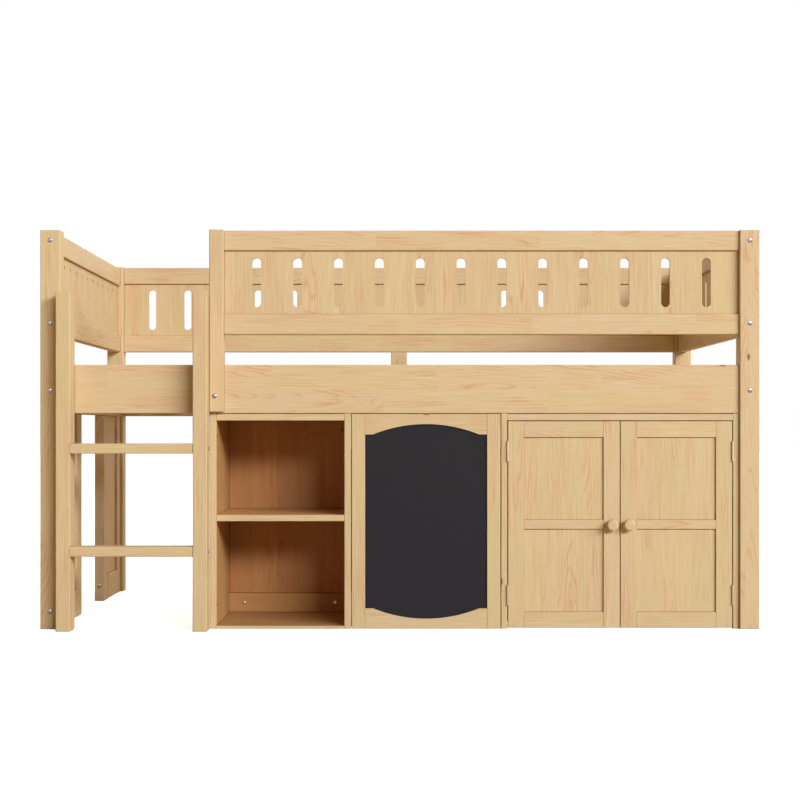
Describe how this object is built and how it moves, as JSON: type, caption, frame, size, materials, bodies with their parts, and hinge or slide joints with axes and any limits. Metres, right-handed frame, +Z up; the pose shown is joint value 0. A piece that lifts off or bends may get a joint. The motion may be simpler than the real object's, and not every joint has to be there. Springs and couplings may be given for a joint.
{
  "type": "loft bed",
  "caption": "Low wooden loft bed with slotted guards, a ladder, an open bookcase, a blackboard and a cabinet with hinged doors under the slatted base.",
  "frame": {"origin": "on the floor, under the middle of the whole bed with its ladder and bolt heads", "axes": "+Z up, X along the bed with the ladder at the -X end, the ladder side faces -Y"},
  "size_m": [2.014, 1.125, 1.115],
  "materials": {
    "pine": "solid light wood with a clear satin lacquer",
    "plain_pine": "solid light wood with a thin clear lacquer",
    "blackboard_paint": "smooth fibreboard with matt blackboard paint",
    "steel": "zinc-plated steel, satin",
    "white_plastic": "moulded plastic"
  },
  "bodies": {
    "bed": {"post_front_left": "pine", "post_front_right": "pine", "post_back_left": "pine", "post_back_right": "pine", "middle_supports": "pine", "side_rail_front": "pine", "side_rail_back": "pine", "end_rail_left": "pine", "end_rail_right": "pine", "slat_cleats": "plain_pine", "slats": "plain_pine", "guard_post": "pine", "front_guard_top_rail": "pine", "front_guard_panel": "pine", "front_guard_bottom_rail": "pine", "back_guard_top_rail": "pine", "back_guard_panel": "pine", "back_guard_bottom_rail": "pine", "left_end_top_rail": "pine", "left_end_panel": "pine", "left_end_bottom_rail": "pine", "right_end_top_rail": "pine", "right_end_panel": "pine", "right_end_bottom_rail": "pine", "ladder_rail_left": "pine", "ladder_rail_right": "pine", "ladder_rungs": "pine", "leg_frame_stiles": "pine", "leg_frame_rails": "pine", "leg_frame_panels": "pine", "bookcase_sides": "pine", "bookcase_top": "pine", "bookcase_shelf": "pine", "bookcase_floor": "pine", "bookcase_back": "plain_pine", "bookcase_back_rail": "plain_pine", "blackboard_stiles": "pine", "blackboard_rails": "pine", "blackboard": "blackboard_paint", "blackboard_battens": "plain_pine", "cabinet_sides": "pine", "cabinet_top": "pine", "cabinet_floor": "plain_pine", "cabinet_shelf": "plain_pine", "cabinet_back": "plain_pine", "magnet_catch": "white_plastic", "cabinet_hinge_leaves": "steel", "hinge_pins": "steel", "frame_bolts": "steel", "barrel_nuts": "steel"},
    "door_left": {"door_left_stiles": "pine", "door_left_rails": "pine", "door_left_panels": "pine", "door_left_knob": "pine", "door_left_hardware": "steel"},
    "door_right": {"door_right_stiles": "pine", "door_right_rails": "pine", "door_right_panels": "pine", "door_right_knob": "pine", "door_right_hardware": "steel"}
  },
  "joints": [
    {"name": "door_left_hinge", "type": "hinge", "parent": "bed", "child": "door_left", "pos_m": [0.30165, -0.4985, 0.29575], "axis": [0, 0, -1], "range_deg": [0, 150]},
    {"name": "door_right_hinge", "type": "hinge", "parent": "bed", "child": "door_right", "pos_m": [0.93135, -0.4985, 0.29575], "axis": [0, 0, 1], "range_deg": [0, 150]}
  ]
}
